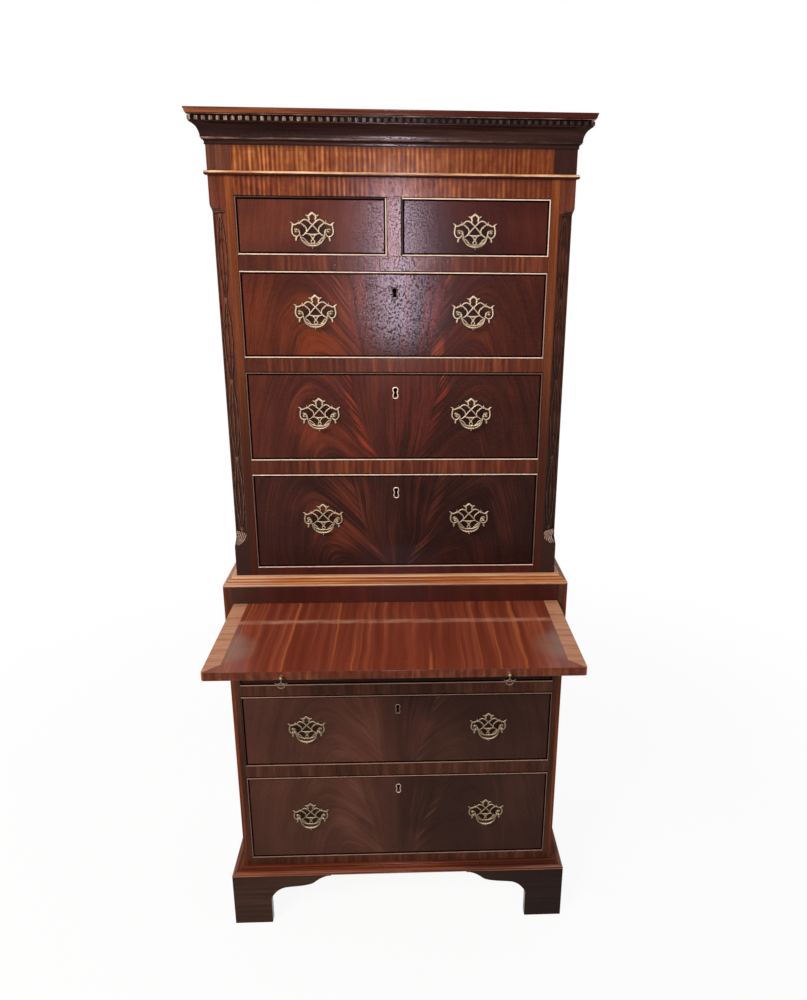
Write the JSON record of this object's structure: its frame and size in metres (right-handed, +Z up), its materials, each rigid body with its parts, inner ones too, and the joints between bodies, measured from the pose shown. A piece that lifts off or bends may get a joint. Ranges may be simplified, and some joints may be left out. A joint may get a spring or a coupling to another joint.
{
  "type": "chest on chest",
  "caption": "Tall mahogany chest on chest with short and long drawers, a pull-out brushing slide, canted fretted corners and bracket feet.",
  "frame": {"origin": "on the floor, under the middle of the whole outline in plan with the brushing slide drawn out as pictured", "axes": "+Z up, front of the chest towards -Y, +X to the right as seen from the front"},
  "size_m": [0.8146, 0.767, 1.8498],
  "materials": {
    "mahogany": "french polished, glossy",
    "flame_mahogany": "figured veneer, french polished",
    "banded_mahogany": "cross-banded veneer, polished",
    "drawer_lining": "bare, waxed by wear",
    "brass": "aged, lightly polished"
  },
  "bodies": {
    "case": {"cornice": "mahogany", "upper_carcase": "banded_mahogany", "upper_back_boards": "drawer_lining", "waist_moulding": "banded_mahogany", "lower_carcase": "mahogany", "lower_back_boards": "drawer_lining", "base_moulding": "mahogany", "foot_front_left": "mahogany", "foot_back_left": "mahogany", "fret_corner_left": "mahogany", "foot_front_right": "mahogany", "foot_back_right": "mahogany", "fret_corner_right": "mahogany"},
    "short_drawer_left": {"short_drawer_left_front": "flame_mahogany", "short_drawer_left_box": "drawer_lining", "short_drawer_left_plate": "brass"},
    "short_drawer_left_bail": {"short_drawer_left_bail": "brass"},
    "short_drawer_right": {"short_drawer_right_front": "flame_mahogany", "short_drawer_right_box": "drawer_lining", "short_drawer_right_plate": "brass"},
    "short_drawer_right_bail": {"short_drawer_right_bail": "brass"},
    "long_drawer_1": {"long_drawer_1_front": "flame_mahogany", "long_drawer_1_box": "drawer_lining", "long_drawer_1_plate_left": "brass", "long_drawer_1_plate_right": "brass"},
    "long_drawer_1_bail_left": {"long_drawer_1_bail_left": "brass"},
    "long_drawer_1_bail_right": {"long_drawer_1_bail_right": "brass"},
    "long_drawer_2": {"long_drawer_2_front": "flame_mahogany", "long_drawer_2_box": "drawer_lining", "long_drawer_2_plate_left": "brass", "long_drawer_2_plate_right": "brass"},
    "long_drawer_2_bail_left": {"long_drawer_2_bail_left": "brass"},
    "long_drawer_2_bail_right": {"long_drawer_2_bail_right": "brass"},
    "long_drawer_3": {"long_drawer_3_front": "flame_mahogany", "long_drawer_3_box": "drawer_lining", "long_drawer_3_plate_left": "brass", "long_drawer_3_plate_right": "brass"},
    "long_drawer_3_bail_left": {"long_drawer_3_bail_left": "brass"},
    "long_drawer_3_bail_right": {"long_drawer_3_bail_right": "brass"},
    "long_drawer_4": {"long_drawer_4_front": "flame_mahogany", "long_drawer_4_box": "drawer_lining", "long_drawer_4_plate_left": "brass", "long_drawer_4_plate_right": "brass"},
    "long_drawer_4_bail_left": {"long_drawer_4_bail_left": "brass"},
    "long_drawer_4_bail_right": {"long_drawer_4_bail_right": "brass"},
    "long_drawer_5": {"long_drawer_5_front": "flame_mahogany", "long_drawer_5_box": "drawer_lining", "long_drawer_5_plate_left": "brass", "long_drawer_5_plate_right": "brass"},
    "long_drawer_5_bail_left": {"long_drawer_5_bail_left": "brass"},
    "long_drawer_5_bail_right": {"long_drawer_5_bail_right": "brass"},
    "long_drawer_6": {"long_drawer_6_front": "flame_mahogany", "long_drawer_6_box": "drawer_lining", "long_drawer_6_plate_left": "brass", "long_drawer_6_plate_right": "brass"},
    "long_drawer_6_bail_left": {"long_drawer_6_bail_left": "brass"},
    "long_drawer_6_bail_right": {"long_drawer_6_bail_right": "brass"},
    "slide": {"brushing_slide": "mahogany"},
    "slide_bail_left": {"slide_bail_left": "brass"},
    "slide_bail_right": {"slide_bail_right": "brass"}
  },
  "joints": [
    {"name": "short_drawer_left_slide", "type": "slide", "parent": "case", "child": "short_drawer_left", "axis": [0, -1, 0], "range_m": [0, 0.34]},
    {"name": "short_drawer_left_bail_hinge", "type": "hinge", "parent": "short_drawer_left", "child": "short_drawer_left_bail", "pos_m": [-0.1585, -0.05654, 1.63645], "axis": [-1, 0, 0], "range_deg": [0, 95]},
    {"name": "short_drawer_right_slide", "type": "slide", "parent": "case", "child": "short_drawer_right", "axis": [0, -1, 0], "range_m": [0, 0.34]},
    {"name": "short_drawer_right_bail_hinge", "type": "hinge", "parent": "short_drawer_right", "child": "short_drawer_right_bail", "pos_m": [0.1585, -0.05654, 1.63645], "axis": [-1, 0, 0], "range_deg": [0, 95]},
    {"name": "long_drawer_1_slide", "type": "slide", "parent": "case", "child": "long_drawer_1", "axis": [0, -1, 0], "range_m": [0, 0.34]},
    {"name": "long_drawer_1_bail_left_hinge", "type": "hinge", "parent": "long_drawer_1", "child": "long_drawer_1_bail_left", "pos_m": [-0.1585, -0.05654, 1.4815], "axis": [-1, 0, 0], "range_deg": [0, 95]},
    {"name": "long_drawer_1_bail_right_hinge", "type": "hinge", "parent": "long_drawer_1", "child": "long_drawer_1_bail_right", "pos_m": [0.1585, -0.05654, 1.4815], "axis": [-1, 0, 0], "range_deg": [0, 95]},
    {"name": "long_drawer_2_slide", "type": "slide", "parent": "case", "child": "long_drawer_2", "axis": [0, -1, 0], "range_m": [0, 0.34]},
    {"name": "long_drawer_2_bail_left_hinge", "type": "hinge", "parent": "long_drawer_2", "child": "long_drawer_2_bail_left", "pos_m": [-0.1585, -0.05654, 1.27415], "axis": [-1, 0, 0], "range_deg": [0, 95]},
    {"name": "long_drawer_2_bail_right_hinge", "type": "hinge", "parent": "long_drawer_2", "child": "long_drawer_2_bail_right", "pos_m": [0.1585, -0.05654, 1.27415], "axis": [-1, 0, 0], "range_deg": [0, 95]},
    {"name": "long_drawer_3_slide", "type": "slide", "parent": "case", "child": "long_drawer_3", "axis": [0, -1, 0], "range_m": [0, 0.34]},
    {"name": "long_drawer_3_bail_left_hinge", "type": "hinge", "parent": "long_drawer_3", "child": "long_drawer_3_bail_left", "pos_m": [-0.1585, -0.05654, 1.04395], "axis": [-1, 0, 0], "range_deg": [0, 95]},
    {"name": "long_drawer_3_bail_right_hinge", "type": "hinge", "parent": "long_drawer_3", "child": "long_drawer_3_bail_right", "pos_m": [0.1585, -0.05654, 1.04395], "axis": [-1, 0, 0], "range_deg": [0, 95]},
    {"name": "long_drawer_4_slide", "type": "slide", "parent": "case", "child": "long_drawer_4", "axis": [0, -1, 0], "range_m": [0, 0.34]},
    {"name": "long_drawer_4_bail_left_hinge", "type": "hinge", "parent": "long_drawer_4", "child": "long_drawer_4_bail_left", "pos_m": [-0.2125, -0.08304, 0.7377], "axis": [-1, 0, 0], "range_deg": [0, 95]},
    {"name": "long_drawer_4_bail_right_hinge", "type": "hinge", "parent": "long_drawer_4", "child": "long_drawer_4_bail_right", "pos_m": [0.2125, -0.08304, 0.7377], "axis": [-1, 0, 0], "range_deg": [0, 95]},
    {"name": "long_drawer_5_slide", "type": "slide", "parent": "case", "child": "long_drawer_5", "axis": [0, -1, 0], "range_m": [0, 0.34]},
    {"name": "long_drawer_5_bail_left_hinge", "type": "hinge", "parent": "long_drawer_5", "child": "long_drawer_5_bail_left", "pos_m": [-0.2125, -0.08304, 0.53605], "axis": [-1, 0, 0], "range_deg": [0, 95]},
    {"name": "long_drawer_5_bail_right_hinge", "type": "hinge", "parent": "long_drawer_5", "child": "long_drawer_5_bail_right", "pos_m": [0.2125, -0.08304, 0.53605], "axis": [-1, 0, 0], "range_deg": [0, 95]},
    {"name": "long_drawer_6_slide", "type": "slide", "parent": "case", "child": "long_drawer_6", "axis": [0, -1, 0], "range_m": [0, 0.34]},
    {"name": "long_drawer_6_bail_left_hinge", "type": "hinge", "parent": "long_drawer_6", "child": "long_drawer_6_bail_left", "pos_m": [-0.2125, -0.08304, 0.2948], "axis": [-1, 0, 0], "range_deg": [0, 95]},
    {"name": "long_drawer_6_bail_right_hinge", "type": "hinge", "parent": "long_drawer_6", "child": "long_drawer_6_bail_right", "pos_m": [0.2125, -0.08304, 0.2948], "axis": [-1, 0, 0], "range_deg": [0, 95]},
    {"name": "brushing_slide_travel", "type": "slide", "parent": "case", "child": "slide", "axis": [0, -1, 0], "range_m": [-0.299, 0]},
    {"name": "slide_bail_left_hinge", "type": "hinge", "parent": "slide", "child": "slide_bail_left", "pos_m": [-0.2115, -0.38004, 0.8498], "axis": [-1, 0, 0], "range_deg": [0, 90]},
    {"name": "slide_bail_right_hinge", "type": "hinge", "parent": "slide", "child": "slide_bail_right", "pos_m": [0.2115, -0.38004, 0.8498], "axis": [-1, 0, 0], "range_deg": [0, 90]}
  ]
}
